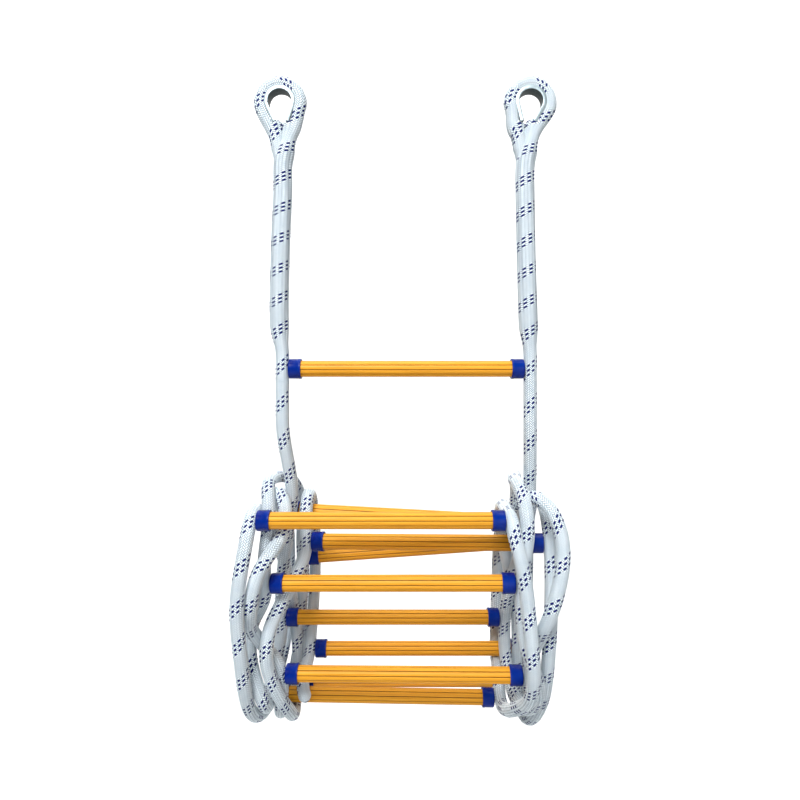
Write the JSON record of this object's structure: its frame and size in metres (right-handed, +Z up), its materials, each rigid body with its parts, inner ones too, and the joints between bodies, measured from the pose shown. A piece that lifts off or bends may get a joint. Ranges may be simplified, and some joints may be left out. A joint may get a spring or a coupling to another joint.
{
  "type": "escape rope ladder",
  "caption": "Rope escape ladder with two braided side ropes, thimble eyes at the top and yellow tube rungs, its lower part rolled up for storage.",
  "frame": {"origin": "midway between the two points where the hooks bear inside the thimble eyes", "axes": "+Z up along the hanging ropes, +X to the right along the rungs, +Y to the back, away from the side the ladder is seen from"},
  "size_m": [0.402, 0.2336, 0.8575],
  "materials": {
    "rope": "white double-braid polyester rope with a faint blue cast and groups of three dark blue tracer yarns",
    "thimble": "galvanised, pale grey with a cool cast",
    "rung_tube": "yellow-orange epoxy glass-fibre tube, ribbed lengthwise, satin",
    "end_cap": "deep blue moulded plastic, semi-gloss",
    "rung_core": "pale glass-fibre rod"
  },
  "bodies": {
    "eyes": {"left_thimble": "thimble", "right_thimble": "thimble", "left_eye_splice": "rope", "right_eye_splice": "rope"},
    "top_section": {"left_upper_rope": "rope", "right_upper_rope": "rope", "rung_01_tube": "rung_tube", "rung_01_core": "rung_core", "rung_01_left_cap": "end_cap", "rung_01_right_cap": "end_cap"},
    "roll": {"left_lower_rope": "rope", "right_lower_rope": "rope", "rung_02_tube": "rung_tube", "rung_02_core": "rung_core", "rung_02_left_cap": "end_cap", "rung_02_right_cap": "end_cap", "rung_03_tube": "rung_tube", "rung_03_core": "rung_core", "rung_03_left_cap": "end_cap", "rung_03_right_cap": "end_cap", "rung_04_tube": "rung_tube", "rung_04_core": "rung_core", "rung_04_left_cap": "end_cap", "rung_04_right_cap": "end_cap", "rung_05_tube": "rung_tube", "rung_05_core": "rung_core", "rung_05_left_cap": "end_cap", "rung_05_right_cap": "end_cap", "rung_06_tube": "rung_tube", "rung_06_core": "rung_core", "rung_06_left_cap": "end_cap", "rung_06_right_cap": "end_cap", "rung_07_tube": "rung_tube", "rung_07_core": "rung_core", "rung_07_left_cap": "end_cap", "rung_07_right_cap": "end_cap", "rung_08_tube": "rung_tube", "rung_08_core": "rung_core", "rung_08_left_cap": "end_cap", "rung_08_right_cap": "end_cap", "rung_09_tube": "rung_tube", "rung_09_core": "rung_core", "rung_09_left_cap": "end_cap", "rung_09_right_cap": "end_cap", "rung_10_tube": "rung_tube", "rung_10_core": "rung_core", "rung_10_left_cap": "end_cap", "rung_10_right_cap": "end_cap", "rung_11_tube": "rung_tube", "rung_11_core": "rung_core", "rung_11_left_cap": "end_cap", "rung_11_right_cap": "end_cap"}
  },
  "joints": [
    {"name": "neck_bend", "type": "hinge", "parent": "eyes", "child": "top_section", "pos_m": [0.005, 0, -0.092], "axis": [1, 0, 0], "range_deg": [-60, 60]},
    {"name": "roll_bend", "type": "hinge", "parent": "top_section", "child": "roll", "pos_m": [0.008, 0, -0.402], "axis": [1, 0, 0], "range_deg": [-75, 75]}
  ]
}
